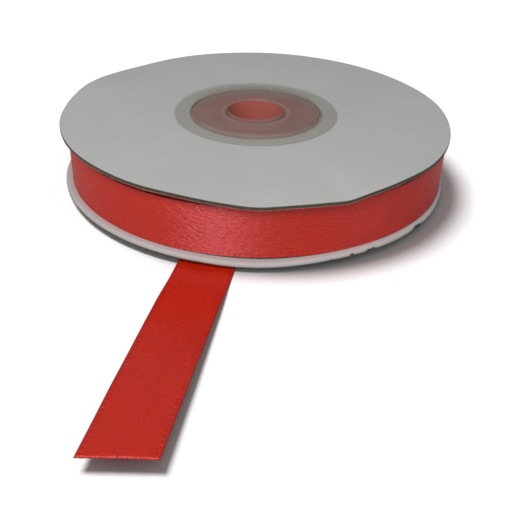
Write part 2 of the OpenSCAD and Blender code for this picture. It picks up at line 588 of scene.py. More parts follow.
@dataclass(frozen=True)
class Satin(Finish):
    """Woven satin, whose threads run along the ribbon and stretch its highlights across it."""

    name: str
    colour: Colour
    shade: Colour
    roughness: float
    anisotropy: float
    specular: float
    metallic: float
    ior: float = 1.5
    thread_pitch: float = 0.21 * MM
    glint_length: float = 1.9 * MM
    glint_width: float = 0.50 * MM
    glint_depth: float = 0.12 * MM
    glint_tint: Colour = (1.0, 0.46, 0.58)
    sheen: float = 0.0

    def paint(self, t: Tree, surface: bpy.types.Node) -> None:
        """Adds the weave, the woven edge, and soft unevenness of the dye and the tension.

        The glints also lighten the colour as a painted highlight, and the edge band is partly painted shade.

        Args:
            t: the material's tree.
            surface: its shader.
        """
        where = t.add("UVMap", uv_map=RIBBON_UV).outputs[0]
        weave = use_group(t, satin_weave(), Ribbon=where, Thread_Pitch=self.thread_pitch,
                          Glint_Length=self.glint_length, Glint_Width=self.glint_width)
        edge = use_group(t, selvedge_and_edge_shade(), Ribbon=where)
        glint = weave.outputs["Glint"]
        clouds = t.noise(t.stretch(where, (60.0, 160.0, 1.0)), 1.0, 3.0, 0.6)
        # The glint mask also lightens the base colour: a painted glint highlight over the clouds of uneven
        # dye.
        dye_tone_and_painted_glint = t.maths("MULTIPLY_ADD", glint, 0.25, t.spread(clouds, 0.3, 0.7, 0.25, 0.75))
        deep = tuple(0.5 * channel for channel in self.shade)
        colour = t.blend(dye_tone_and_painted_glint, self.shade, self.colour)
        # Darker band at both edges: partly the woven edge's own colour, partly painted shade where the
        # ribbon's edge meets the card.
        colour = t.blend(t.maths("MULTIPLY", edge.outputs["Edge"], 0.7), colour, deep)
        colour = t.blend(t.maths("MULTIPLY", edge.outputs["Stitch"], 0.26), colour, deep)
        t.put(surface.inputs["Base Color"], colour)
        gloss = t.spread(glint, 0.0, 1.0, self.roughness - 0.06, self.roughness + 0.06)
        t.put(surface.inputs["Roughness"], gloss)
        surface.inputs["Metallic"].default_value = self.metallic
        surface.inputs["Anisotropic"].default_value = self.anisotropy
        surface.inputs["Anisotropic Rotation"].default_value = 0.25
        surface.inputs["Specular IOR Level"].default_value = self.specular
        surface.inputs["IOR"].default_value = self.ior
        surface.inputs["Specular Tint"].default_value = (*self.glint_tint, 1.0)
        surface.inputs["Sheen Weight"].default_value = self.sheen
        surface.inputs["Sheen Roughness"].default_value = 0.4
        surface.inputs["Sheen Tint"].default_value = (1.0, 0.4, 0.4, 1.0)
        tangent = t.add("Tangent", direction_type="UV_MAP", uv_map=RIBBON_UV)
        t.put(surface.inputs["Tangent"], tangent.outputs[0])
        relief = t.maths("MULTIPLY_ADD", glint, 0.8, t.maths("MULTIPLY", weave.outputs["Height"], 0.2))
        relief = t.maths("SUBTRACT", relief, t.maths("MULTIPLY", edge.outputs["Stitch"], 0.5))
        bump(t, surface, relief, self.glint_depth)


@dataclass(frozen=True)
class WoundEdges(Finish):
    """The side of the roll, where the edges of its turns lie on each other."""

    name: str
    colour: Colour
    shade: Colour
    turn_pitch: float

    def paint(self, t: Tree, surface: bpy.types.Node) -> None:
        """Adds painted shade in the groove between each two turns, and a slow random change of colour across
        them.

        Args:
            t: the material's tree.
            surface: its shader.
        """
        where = place(t)
        length = t.add("VectorMath", operation="LENGTH")
        t.put(length.inputs[0], t.stretch(where, (1.0, 1.0, 0.0)))
        radius = length.outputs["Value"]
        in_turn = t.maths("FRACT", t.maths("DIVIDE", radius, self.turn_pitch))
        ridge = t.maths("SINE", t.maths("MULTIPLY", in_turn, math.pi))
        clouds = t.noise(where, 320.0, 4.0, 0.6)
        # Darker where the ridge is low, in the grooves between turns: painted shade; the clouds are random.
        colour = t.blend(t.maths("MULTIPLY", ridge, clouds), self.shade, self.colour)
        t.put(surface.inputs["Base Color"], colour)
        t.put(surface.inputs["Roughness"], t.spread(clouds, 0.3, 0.7, 0.55, 0.75))
        bump(t, surface, ridge, 0.05 * MM)


@dataclass(frozen=True)
class Paper(Finish):
    """Smooth facing paper, a little clouded, with a darker rim of handling soiling and painted shade."""

    name: str
    colour: Colour
    shade: Colour
    soil_and_shade: Colour
    roughness: float = 0.62
    rim_radius: float = 46.2 * MM
    rim_width: float = 0.3 * MM

    def paint(self, t: Tree, surface: bpy.types.Node) -> None:
        """Adds the grain, the clouding and the darker rim of soiling and painted shade.

        Args:
            t: the material's tree.
            surface: its shader.
        """
        where = place(t)
        grain = use_group(t, paper_grain(), Place=where, Grain_Scale=2600.0, Cloud_Scale=55.0)
        wear_and_shade = use_group(t, rim_wear_and_shade(), Place=where, Rim_Radius=self.rim_radius, Width=self.rim_width)
        colour = t.blend(grain.outputs["Clouding"], self.shade, self.colour)
        # Darker towards the rim: handling soiling, and on the outer papers and the upper inner paper also
        # painted shade.
        colour = t.blend(t.maths("MULTIPLY", wear_and_shade.outputs["Wear And Shade"], 0.85), colour, self.soil_and_shade)
        t.put(surface.inputs["Base Color"], colour)
        t.put(surface.inputs["Roughness"],
              t.spread(grain.outputs["Clouding"], 0.0, 1.0, self.roughness + 0.06, self.roughness - 0.06))
        surface.inputs["Specular IOR Level"].default_value = 0.35
        bump(t, surface, grain.outputs["Height"], 0.012 * MM, 0.6)


@dataclass(frozen=True)
class GreyBoard(Finish):
    """Recycled grey board, whose cut edge shows its pressed layers of fibre."""

    name: str
    colour: Colour
    shade: Colour
    fleck: Colour

    def paint(self, t: Tree, surface: bpy.types.Node) -> None:
        """Adds the layers, the flecks and the torn fibres.

        Args:
            t: the material's tree.
            surface: its shader.
        """
        where = place(t)
        layers = t.noise(t.stretch(where, (900.0, 900.0, 9000.0)), 1.0, 4.0, 0.7)
        flecks = t.noise(t.stretch(where, (1600.0, 1600.0, 6000.0)), 1.0, 2.0, 0.5)
        colour = t.blend(t.spread(layers, 0.35, 0.65, 0.0, 1.0), self.shade, self.colour)
        colour = t.blend(t.spread(flecks, 0.62, 0.75, 0.0, 0.7), colour, self.fleck)
        t.put(surface.inputs["Base Color"], colour)
        t.put(surface.inputs["Roughness"], t.spread(layers, 0.3, 0.7, 0.8, 0.95))
        surface.inputs["Specular IOR Level"].default_value = 0.2
        bump(t, surface, layers, 0.08 * MM)


@dataclass(frozen=True)
class MilkyPlastic(Finish):
    """Thin moulded polypropylene that lets the colour behind it through; red light from the ribbon is also
    painted into the crown's and the tube's colours.
    """

    name: str
    colour: Colour
    tint: Colour
    cover: float
    roughness: float = 0.32

    def paint(self, t: Tree, surface: bpy.types.Node) -> None:
        """Adds flow clouding, fine mould texture and an uneven cover.

        Args:
            t: the material's tree.
            surface: its shader.
        """
        where = place(t)
        flow = t.noise(t.stretch(where, (140.0, 140.0, 60.0)), 1.0, 4.0, 0.6)
        fine = t.noise(where, 1800.0, 3.0, 0.6)
        colour = t.blend(t.spread(flow, 0.3, 0.7, 0.0, 1.0), self.tint, self.colour)
        t.put(surface.inputs["Base Color"], colour)
        gloss = t.spread(fine, 0.3, 0.7, self.roughness - 0.05, self.roughness + 0.1)
        t.put(surface.inputs["Roughness"], gloss)
        if self.cover < 1.0:
            t.put(surface.inputs["Alpha"], t.spread(flow, 0.25, 0.75, self.cover - 0.04, self.cover + 0.04))
        bump(t, surface, fine, 0.01 * MM, 0.5)


SATIN_FACE = Satin("red_satin_face", (0.77, 0.026, 0.004), (0.62, 0.017, 0.003),
                   roughness=0.42, anisotropy=1.0, specular=1.0, metallic=0.05, ior=1.65)
SATIN_BACK = Satin("red_satin_back", (0.56, 0.028, 0.016), (0.42, 0.016, 0.010),
                   roughness=0.6, anisotropy=0.3, specular=0.4, metallic=0.0, sheen=0.2)
ROLL_SIDE = WoundEdges("red_wound_edges", (0.76, 0.03, 0.015), (0.34, 0.010, 0.006), 0.25 * MM)
ROLL_CORE = WoundEdges("red_roll_core", (0.80, 0.035, 0.015), (0.70, 0.028, 0.012), 0.25 * MM)
# The outer paper's near-black rim is partly handling soiling and partly painted shade on the discs' cut
# edges.
OUTER_PAPER = Paper("white_outer_paper", (0.64, 0.645, 0.635), (0.60, 0.605, 0.595), (0.07, 0.055, 0.04))
LOWER_INNER_PAPER = Paper("white_lower_inner_paper", (0.62, 0.60, 0.59), (0.58, 0.56, 0.55),
                          (0.52, 0.47, 0.43))
# The upper inner paper's dark reddish rim, 1.8 mm wide over the rolled edge that faces down, is painted shade
# and painted red light from the ribbon.
UPPER_INNER_PAPER = Paper("white_upper_inner_paper", (0.62, 0.60, 0.59), (0.58, 0.56, 0.55),
                          (0.34, 0.15, 0.10), rim_width=1.8 * MM)
# The board's colours are darkened below grey board's own as painted shade on the discs' cut edges.
BOARD = GreyBoard("pressed_fibre_board", (0.15, 0.118, 0.082), (0.055, 0.043, 0.030), (0.24, 0.19, 0.135))
HUB_FLANGE = MilkyPlastic("hub_flange_plastic", (0.60, 0.58, 0.52), (0.55, 0.53, 0.48), 0.35)
# The crown's pink is painted red light from the ribbon beneath, on top of the red its cover lets through; the
# opaque tube's red is all painted red light from the ribbon around it.
HUB_CROWN_PAINTED_RED_LIGHT = MilkyPlastic("hub_crown_plastic_painted_red_light", (0.48, 0.375, 0.33), (0.44, 0.335, 0.295), 0.35)
HUB_TUBE_PAINTED_RED_LIGHT = MilkyPlastic("hub_tube_plastic_painted_red_light", (0.62, 0.185, 0.145), (0.58, 0.17, 0.135), 1.0)
TAPE = Paper("tape_paper", (0.80, 0.74, 0.56), (0.74, 0.68, 0.50), (0.6, 0.55, 0.4))


# ---------------------------------------------------------------- sub-assemblies

class Facing(Enum):
    """Which way a card disc's outer paper faces."""

    UP = 1
    DOWN = -1


class Layer(Enum):
    """A layer of a card disc, by the last part of its node's name."""

    OUTER_PAPER = "outer_paper"
    BOARD = "board"
    INNER_PAPER = "inner_paper"


@dataclass(frozen=True)
class Bend:
    """One soft bend of a card disc: where on the rim, how wide, and how far up (down, below 0)."""

    angle_deg: float
    half_width_deg: float
    rise: float


@dataclass(frozen=True)
class Nick:
    """One torn or burred place on a disc's rim: where, how wide, and how far it stands out (in, below 0)."""

    angle_deg: float
    width: float
    out: float


@dataclass
class CardDisc:
    """A die-cut disc of grey board with a white paper on each face, bent a little by handling."""

    body: str
    facing: Facing
    bends: tuple[Bend, ...]
    nicks: tuple[Nick, ...]
    seed: int
    die_roll: float
    inner_finish: Finish
    stiff_radius: float = 21.0 * MM
    dip_clearance: float = 0.10 * MM
    bend_power: float = 1.6
    segments: int = 540
    hole_radius: float = 16.05 * MM
    fine_wander: float = 0.018 * MM
    slow_wander: float = 0.03 * MM
    loose_rim: float = 0.8 * MM
    flat_end: float = 1.0 * MM
    last_ring: float = 1.5 * MM
    outer_round: tuple[float, float] = (0.4 * MM, 0.05 * MM)
    outer_drop: float = 0.03 * MM
    burr_on_board: float = 0.3
    tear_on_board: float = -0.15
    nick_on_outer_paper: float = 0.3

    def rim(self) -> float:
        """Radius of the disc."""
        return outer_radius(f"{self.body}_board")

    def rise(self, angles: np.ndarray, radii: np.ndarray) -> np.ndarray:
        """Height that the disc's bends add.

        Args:
            angles: angles round the axis, in radians.
            radii: distances from the axis.

        Returns:
            The rise at each place.
        """
        return self.rim_rise(angles) * self.share_of_bend(radii)

    def rim_rise(self, angles: np.ndarray) -> np.ndarray:
        """Height that the disc's bends add at its rim.

        Args:
            angles: angles round the axis, in radians.

        Returns:
            The rise at each angle.
        """
        total = np.zeros(np.shape(angles))
        for bend in self.bends:
            away = (np.degrees(angles) - bend.angle_deg + 180.0) % 360.0 - 180.0
            total += bend.rise * np.exp(-(away / bend.half_width_deg) ** 2)
        return total

    def share_of_bend(self, radii: np.ndarray) -> np.ndarray:
        """Share of the rim's rise at each distance from the axis."""
        share = (radii - self.stiff_radius) / (self.rim() - self.stiff_radius)
        return np.clip(share, 0.0, None) ** self.bend_power

    def deepest(self, radii: np.ndarray) -> np.ndarray:
        """How far down the disc's bends reach as it turns, with room to spare.

        Args:
            radii: distances from the axis.

        Returns:
            The lowest place at each distance, below 0.
        """
        lowest = float(self.rim_rise(np.linspace(0.0, TURN, 720)).min())
        return (lowest - self.dip_clearance) * self.share_of_bend(radii)

    def rim_offset(self, angles: np.ndarray, layer: Layer) -> np.ndarray:
        """How far a layer's cut rim wanders, with its nicks.

        Args:
            angles: angles round the axis, in radians.
            layer: the layer.

        Returns:
            The offset outwards at each angle.
        """
        seed = self.seed + 10 * list(Layer).index(layer)
        wander = self.fine_wander * ring_noise(angles, knots=300, seed=seed)
        wander = wander + self.slow_wander * ring_noise(angles, knots=37, seed=seed + 1)
        ragged = 0.5 + 0.5 * ring_noise(angles, knots=500, seed=seed + 2)
        for nick in self.nicks:
            away = (np.degrees(angles) - nick.angle_deg + 180.0) % 360.0 - 180.0
            reach = np.exp(-(np.radians(away) * self.rim() / nick.width) ** 2)
            share = {Layer.INNER_PAPER: 1.0,
                     Layer.BOARD: self.burr_on_board if nick.out > 0 else self.tear_on_board,
                     Layer.OUTER_PAPER: self.nick_on_outer_paper}
            wander += nick.out * reach * (0.4 + 0.6 * ragged) * share[layer]
        return wander

    def section(self, layer: Layer) -> tuple[np.ndarray, np.ndarray]:
        """Outline of one layer, cut through the disc. The punch rolls the inner paper over the rim.

        Args:
            layer: the layer.

        Returns:
            Radius, and depth from the disc's outer face, of each point of the closed outline.
        """
        rim = self.rim()
        thick = self.thickness()
        paper = self.paper_thickness()
        centre_r, centre_h = rim - self.die_roll, thick - self.die_roll
        inner = np.append(np.linspace(self.hole_radius, rim - self.last_ring, 14), rim - self.flat_end)
        turn = np.linspace(0.0, math.pi / 2, 7)
        over_r = centre_r + self.die_roll * np.cos(turn)
        over_h = centre_h + self.die_roll * np.sin(turn)
        under_r = centre_r + (self.die_roll - paper) * np.cos(turn)
        under_h = centre_h + (self.die_roll - paper) * np.sin(turn)
        flat = np.ones(len(inner))
        if layer is Layer.OUTER_PAPER:
            out = np.concatenate([inner, [rim - inset for inset in self.outer_round], [rim]])
            edge = np.append(np.zeros(len(out) - 1), self.outer_drop)
            back = np.concatenate([[rim], out[:-1][::-1]])
            return np.concatenate([out, back]), np.concatenate([edge, np.full(len(back), paper)])
        if layer is Layer.BOARD:
            side = np.array((paper, 0.5 * (paper + centre_h), centre_h))
            radii = [inner, np.full(3, rim), under_r, inner[::-1]]
            depths = [flat * paper, side, under_h, flat * (thick - paper)]
            return np.concatenate(radii), np.concatenate(depths)
        radii = [inner, under_r[::-1], over_r, inner[::-1]]
        depths = [flat * (thick - paper), under_h[::-1], over_h, flat * thick]
        return np.concatenate(radii), np.concatenate(depths)

    def thickness(self) -> float:
        """Thickness of the disc with both papers."""
        spans = [box_of(f"{self.body}_{part.value}") for part in (Layer.OUTER_PAPER, Layer.INNER_PAPER)]
        return max(high.z for _, high in spans) - min(low.z for low, _ in spans)

    def paper_thickness(self) -> float:
        """Thickness of one paper."""
        low, high = box_of(f"{self.body}_outer_paper")
        return high.z - low.z

    def build_layer(self, layer: Layer, finish: Finish) -> None:
        """Builds one layer of the disc.

        Args:
            layer: the layer.
            finish: its finish.
        """
        node = f"{self.body}_{layer.value}"
        rim = outer_radius(node)
        outer_low, outer_high = box_of(f"{self.body}_outer_paper")
        start = outer_high.z if self.facing is Facing.UP else outer_low.z
        angles = np.linspace(0.0, TURN, self.segments, endpoint=False)
        section_r, section_h = self.section(layer)
        near_rim = np.clip((section_r - (rim - self.loose_rim)) / self.loose_rim, 0.0, 1.0)
        r_grid = section_r[None, :] + near_rim[None, :] ** 2 * self.rim_offset(angles, layer)[:, None]
        z_grid = start - self.facing.value * section_h[None, :] + self.rise(angles[:, None], r_grid)
        points = np.stack([r_grid * np.cos(angles)[:, None], r_grid * np.sin(angles)[:, None], z_grid], -1)
        piece = make_mesh(f"{node}_disc", points.reshape(-1, 3),
                          wrapped_quads(self.segments, len(section_r), True), [finish.material()])
        outward(piece)
        sharpen(piece, 50.0)
        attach(piece, self.body)
        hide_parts(node)
        LOG.info("%s: %d faces", piece.name, len(piece.data.polygons))

    def build(self) -> None:
        """Builds the board and both papers."""
        self.build_layer(Layer.OUTER_PAPER, OUTER_PAPER)
        self.build_layer(Layer.BOARD, BOARD)
        self.build_layer(Layer.INNER_PAPER, self.inner_finish)


@dataclass
class Hub:
    """The two moulded halves that snap together through the discs."""

    body: str = "core"
    bore_r: float = 6.5 * MM
    tube_wall: float = 0.9 * MM
    tube_fit: float = 0.05 * MM
    boss_r: float = 15.95 * MM
    boss_wall: float = 0.8 * MM
    crown_r: float = 15.5 * MM
    crown_h: float = 1.0 * MM
    crown_t: float = 0.7 * MM
    flange_t: float = 0.45 * MM
    lip: float = 0.58 * MM
    bead_out: float = 0.25 * MM
    bead_h: float = 0.8 * MM
    bead_up: float = 1.6 * MM
    slots: int = 4
    slot_w: float = 1.2 * MM
    slot_h: float = 6.0 * MM

    def shell_corners(self, face_z: float, boss_end: float, way: float) -> list[tuple[float, float, float]]:
        """Corners of one half's crown, flange and boss, from the bore's lip round to the crown's underside.

        Args:
            face_z: height of the flange's face on the card.
            boss_end: height of the boss's end.
            way: 1 for the upper half and -1 for the lower.

        Returns:
            Radius, height and corner radius of each corner.
        """
        top = face_z + way * self.crown_h
        flange = face_z + way * self.flange_t
        under = top - way * self.crown_t
        rim = outer_radius("hub_plug")
        return [
            (self.bore_r, top, self.lip),
            (self.crown_r, top, 0.40 * MM),
            (self.crown_r, flange, 0.13 * MM),
            (rim, flange, 0.18 * MM),
            (rim, face_z, 0.08 * MM),
            (self.boss_r, face_z, 0.0),
            (self.boss_r, boss_end, 0.12 * MM),
            (self.boss_r - self.boss_wall, boss_end, 0.12 * MM),
            (self.boss_r - self.boss_wall, under, 0.2 * MM),
        ]

    def pick(self, radius: float, height: float) -> int:
        """Picks a face's material: the flange's outside the crown, then the crown's, then the tube's.

        Args:
            radius: the face's distance from the axis.
            height: its height.

        Returns:
            The material's place among the hub's three.
        """
        if radius > self.crown_r - 0.05 * MM:
            return 0
        in_tube = radius < self.bore_r + 2 * self.tube_wall + 3 * self.tube_fit
        from_ends = min(box_of("hub_plug")[1].z - height, height - box_of("hub_socket")[0].z)
        in_lip = from_ends < self.lip - 0.02 * MM
        return 2 if in_tube and not in_lip else 1

    def build(self) -> None:
        """Builds both halves."""
        self.build_plug()
        self.build_socket()

    def dress(self, piece: bpy.types.Object, node: str) -> None:
        """Puts a finished half in the place of its CAD node.

        Args:
            piece: the half.
            node: the node.
        """
        outward(piece)
        sharpen(piece, 40.0)
        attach(piece, self.body)
        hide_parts(node)
        LOG.info("%s: %d faces", piece.name, len(piece.data.polygons))

    def build_plug(self) -> None:
        """Builds the upper half, whose tube is slotted and carries the bead."""
        low, high = box_of("hub_plug")
        face = high.z - self.crown_h
        paper_low, paper_high = box_of("upper_card_inner_paper")
        boss_end = box_of("upper_card_board")[0].z - (paper_high.z - paper_low.z)
        outer = self.bore_r + self.tube_wall
        bead = low.z + self.bead_up
        corners = self.shell_corners(face, boss_end, 1.0) + [
            (outer, high.z - self.crown_t, 0.2 * MM),
            (outer, bead + self.bead_h, 0.0),
            (outer + self.bead_out, bead + self.bead_h, 0.15 * MM),
            (outer + self.bead_out, bead, 0.15 * MM),
            (outer, bead, 0.0),
            (outer, low.z, 0.15 * MM),
            (self.bore_r, low.z, 0.1 * MM),
        ]
        plastics = [finish.material() for finish in (HUB_FLANGE, HUB_CROWN_PAINTED_RED_LIGHT, HUB_TUBE_PAINTED_RED_LIGHT)]
        plug = lathe("hub_plug_moulding", fillet(corners), plastics, pick=self.pick)
        outward(plug)
        cutters = [self.slot_cutter(i, low.z) for i in range(self.slots // 2)]
        for cutter in cutters:
            cut = plug.modifiers.new(cutter.name, "BOOLEAN")
            cut.operation = "DIFFERENCE"
            cut.solver = "EXACT"
            cut.object = cutter
        settle(plug)
        for cutter in cutters:
            bpy.data.meshes.remove(cutter.data)
        self.dress(plug, "hub_plug")

    def slot_cutter(self, index: int, tube_end: float) -> bpy.types.Object:
        """A bar that cuts a pair of opposite slots.

        Args:
            index: which pair.
            tube_end: height of the tube's end.

        Returns:
            The bar.
        """
        half = Vector((self.bore_r + 2 * self.tube_wall, self.slot_w / 2, self.slot_h))
        corners = [(x * half.x, y * half.y, tube_end + z * half.z)
                   for x in (-1, 1) for y in (-1, 1) for z in (-1, 1)]
        turn = Matrix.Rotation(index * TURN / self.slots, 3, "Z")
        faces = [(0, 1, 3, 2), (4, 6, 7, 5), (0, 4, 5, 1), (2, 3, 7, 6), (0, 2, 6, 4), (1, 5, 7, 3)]
        return make_mesh(f"slot_{index}", np.array([turn @ Vector(c) for c in corners]), faces, [])

    def build_socket(self) -> None:
        """Builds the lower half, whose tube takes the plug's."""
        low, high = box_of("hub_socket")
        face = low.z + self.crown_h
        boss_end = box_of("lower_card_inner_paper")[1].z
        inner = self.bore_r + self.tube_wall + self.tube_fit
        outer = inner + self.tube_wall
        under = low.z + self.crown_t
        bead = box_of("hub_plug")[0].z + self.bead_up
        groove = inner + self.bead_out
        corners = self.shell_corners(face, boss_end, -1.0) + [
            (outer, under, 0.2 * MM),
            (outer, high.z, 0.12 * MM),
            (inner, high.z, 0.12 * MM),
            (inner, bead + self.bead_h + self.tube_fit, 0.0),
            (groove, bead + self.bead_h + self.tube_fit, 0.0),
            (groove, bead - self.tube_fit, 0.0),
            (inner, bead - self.tube_fit, 0.0),
            (inner, under, 0.0),
            (self.bore_r, under, 0.0),
        ]
        plastics = [finish.material() for finish in (HUB_FLANGE, HUB_CROWN_PAINTED_RED_LIGHT, HUB_TUBE_PAINTED_RED_LIGHT)]
        self.dress(lathe("hub_socket_moulding", fillet(corners), plastics, pick=self.pick), "hub_socket")


@dataclass
class WoundRoll:
    """The tightly wound turns under the last one, with a ridge for each turn's edge."""

    card: CardDisc
    body: str = "core"
    inner_r: float = 8.55 * MM
    turn_pitch: float = 0.25 * MM
    under_last: float = 0.14 * MM
    groove: float = 0.10 * MM
    uneven: float = 0.05 * MM
    segments: int = 200

    def pick(self, radius: float, _height: float) -> int:
        """Picks the core's material for the roll's inner wall, and the wound edges' for the rest."""
        return 1 if radius < self.inner_r + 0.01 * MM else 0

    def build(self) -> None:
        """Builds the roll as one ring whose sides are ridged."""
        low, high = box_of("ribbon_roll")
        outer = outer_radius("ribbon_roll") - self.under_last
        turns = int((outer - self.inner_r) / self.turn_pitch)
        radii = np.linspace(self.inner_r, outer, 2 * turns + 1)
        dips = np.where(np.arange(len(radii)) % 2 == 0, self.groove, 0.0)
        dips = dips + np.abs(self.uneven * ring_noise(radii / outer * TURN * 0.9, knots=60, seed=5))
        bottom = low.z + dips
        top = high.z - dips + self.card.deepest(radii)
        outline = list(zip(radii, top)) + list(zip(radii[::-1], bottom[::-1]))
        finishes = [ROLL_SIDE.material(), ROLL_CORE.material()]
        roll = lathe("ribbon_roll_turns", outline, finishes, self.segments, self.pick)
        outward(roll)
        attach(roll, self.body)
        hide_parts("ribbon_roll")
        LOG.info("%s: %d turns", roll.name, turns)


@dataclass
class RibbonEnd:
    """The ribbon's last turn and its free end, as the one strip that they are.

    The strip goes once round the roll, is folded diagonally at the back, comes down over the lower disc's
    rim, runs flat under the hub and lifts a little in front of the spool. A place on it is u along it and v
    across it.
    """

    card: CardDisc
    body: str = "ribbon_end"
    width: float = 12.0 * MM
    thickness: float = 0.2 * MM
    turn_pitch: float = 0.25 * MM
    fold_radius: float = 0.125 * MM
    skew_deg: float = 9.5
    offset: float = 2.1 * MM
    lift: float = 2.6 * MM
    lift_start: float = 1.5 * MM
    rim_gap: float = 0.42 * MM
    bend_radius: float = 0.7 * MM
    lean: float = 6.9 * MM
    edge_bead: float = 0.035 * MM
    slack: float = 0.3 * MM
    slack_deg: float = -10.0
    bulge: float = 1.1 * MM
    bulge_deg: float = 42.0
    slow_wave: float = 0.04 * MM
    fine_wave: float = 0.02 * MM
    crest: float = 0.10 * MM
    ripple: float = 0.05 * MM
    ripple_pitch: float = 17 * MM
    ripple_slant: float = 5 * MM
    tail_start: float = 50 * MM
    tail_ease: float = 40 * MM
    fold_lean: tuple[float, float] = (1.5 * MM, 12 * MM)
    cut_lean: tuple[float, float] = (30 * MM, 28 * MM)
    past_cut: float = 3 * MM
    cord_at: float = 0.2 * MM
    cord_width: float = 0.16 * MM
    seam_at: float = 0.5 * MM
    seam_width: float = 0.1 * MM
    edge_round: float = 0.15 * MM
    row_step: float = 0.8 * MM
    fold_step: float = 0.05 * MM
    bend_step: float = 0.12 * MM
    near_fold: float = 1.2 * MM
    past_bend: float = 4 * MM
    frayed: float = 0.08 * MM

    def __post_init__(self) -> None:
        """Works out the strip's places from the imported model's boxes."""
        turn_low, turn_high = box_of("ribbon_last_turn")
        self.low_z, self.high_z = turn_low.z, turn_high.z
        self.roll_r = outer_radius("ribbon_last_turn") - 0.5 * self.turn_pitch
        self.reach = -box_of("ribbon_free_end")[0].y
        self.rim_s = outer_radius("lower_card_board") + self.rim_gap
        self.rim_z = box_of("lower_card_inner_paper")[1].z
        self.start_a = TURN * self.roll_r + self.offset
        self.edge_a = self.offset - self.width / 2
        self.fold_q = self.start_a - self.edge_a - self.width / 2
        self.path_s, self.path_z, self.path_t = self.profile()

    def profile(self) -> tuple[np.ndarray, np.ndarray, np.ndarray]:
        """Middle line of the folded-down part, seen from the side.

        Returns:
            Distance from the axis, height, and length along the line, at close steps.
        """
        rest_z = self.thickness / 2 + self.edge_bead
        s_roll = self.roll_r + 2 * self.fold_radius
        down = np.linspace(self.high_z, self.rim_z + self.lean, 30)
        lean_z = np.linspace(self.rim_z + self.lean, self.rim_z, 40)
        lean_s = s_roll + (self.rim_s - s_roll) * smooth_step((self.rim_z + self.lean - lean_z) / self.lean)
        drop = np.linspace(self.rim_z, rest_z + self.bend_radius, 6)[1:]
        arc = np.linspace(0.0, math.pi / 2, 12)[1:]
        arc_s = self.rim_s - self.bend_radius * (1 - np.cos(arc))
        arc_z = rest_z + self.bend_radius * (1 - np.sin(arc))
        end = -self.reach / math.cos(math.radians(self.skew_deg))
        flat_s = np.linspace(arc_s[-1], end - self.past_cut, 400)[1:]
        start = -outer_radius("lower_card_board") + self.lift_start
        share = np.clip((start - flat_s) / (start - end), 0.0, 1.0)
        flat_z = rest_z + self.lift * smooth_step(3.5 * share) * (1.0 - 0.9 * (1.0 - share) ** 1.4)
        s = np.concatenate([np.full(len(down), s_roll), lean_s, np.full(len(drop), self.rim_s),
                            arc_s, flat_s])
        z = np.concatenate([down, lean_z, drop, arc_z, flat_z])
        t = np.concatenate([[0.0], np.cumsum(np.hypot(np.diff(s), np.diff(z)))])
        return s, z, t

    def to_frame(self, s: np.ndarray, across: np.ndarray, z: np.ndarray) -> np.ndarray:
        """Turns the free end's own directions into the frame's.

        Args:
            s: distance towards the back, along the free end.
            across: distance across it from the spool's axis.
            z: height.

        Returns:
            Points.
        """
        angle = math.radians(90.0 - self.skew_deg)
        return np.stack([s * math.cos(angle) - across * math.sin(angle),
                         s * math.sin(angle) + across * math.cos(angle), z], -1)

    def middle(self, u: np.ndarray, v: np.ndarray) -> np.ndarray:
        """Middle surface of the strip.

        Args:
            u: places along the strip.
            v: places across it.

        Returns:
            Points, one for each pair of places.
        """
        a = self.start_a - self.edge_a - u
        past = (v - a) / math.sqrt(2)
        along = (v + a) / math.sqrt(2)
        bent = np.clip(past, 0.0, math.pi * self.fold_radius) / self.fold_radius
        over = np.where(past < 0, past, np.where(past < math.pi * self.fold_radius,
                                                 self.fold_radius * np.sin(bent),
                                                 math.pi * self.fold_radius - past))
        height = self.fold_radius * (1 - np.cos(bent))
        place_a = (along - over) / math.sqrt(2) + self.edge_a
        place_b = (along + over) / math.sqrt(2)
        wound = self.wound(place_a, place_b, height)
        return np.where((past < math.pi * self.fold_radius)[..., None], wound, self.led_out(place_a, place_b))

    def wound(self, a: np.ndarray, b: np.ndarray, height: np.ndarray) -> np.ndarray:
        """Places on the roll.

        Args:
            a: distance round the roll.
            b: distance above the ribbon's lower edge.
            height: distance off the roll's surface.

        Returns:
            Points.
        """
        turns_in = np.clip((a - self.offset - self.width) / (TURN * self.roll_r), 0.0, 1.0)
        angle = a / self.roll_r
        facing = angle + math.radians(90.0 - self.skew_deg)
        bulge = (np.degrees(facing) - self.slack_deg + 180.0) % 360.0 - 180.0
        slack = self.slack + self.bulge * np.exp(-(bulge / self.bulge_deg) ** 2)
        wave = self.slow_wave * ring_noise(facing, knots=23, seed=3)
        slack += wave + self.fine_wave * ring_noise(facing, knots=90, seed=4)
        slack *= smooth_step(5 * turns_in) * smooth_step(8 * (1 - turns_in))
        radius = self.roll_r + height - self.turn_pitch * turns_in + slack
        droop = self.card.deepest(radius)
        z = self.low_z + b + droop * np.clip(b / self.width, 0.0, 1.0) ** 2
        return self.to_frame(radius * np.cos(angle), radius * np.sin(angle), z)

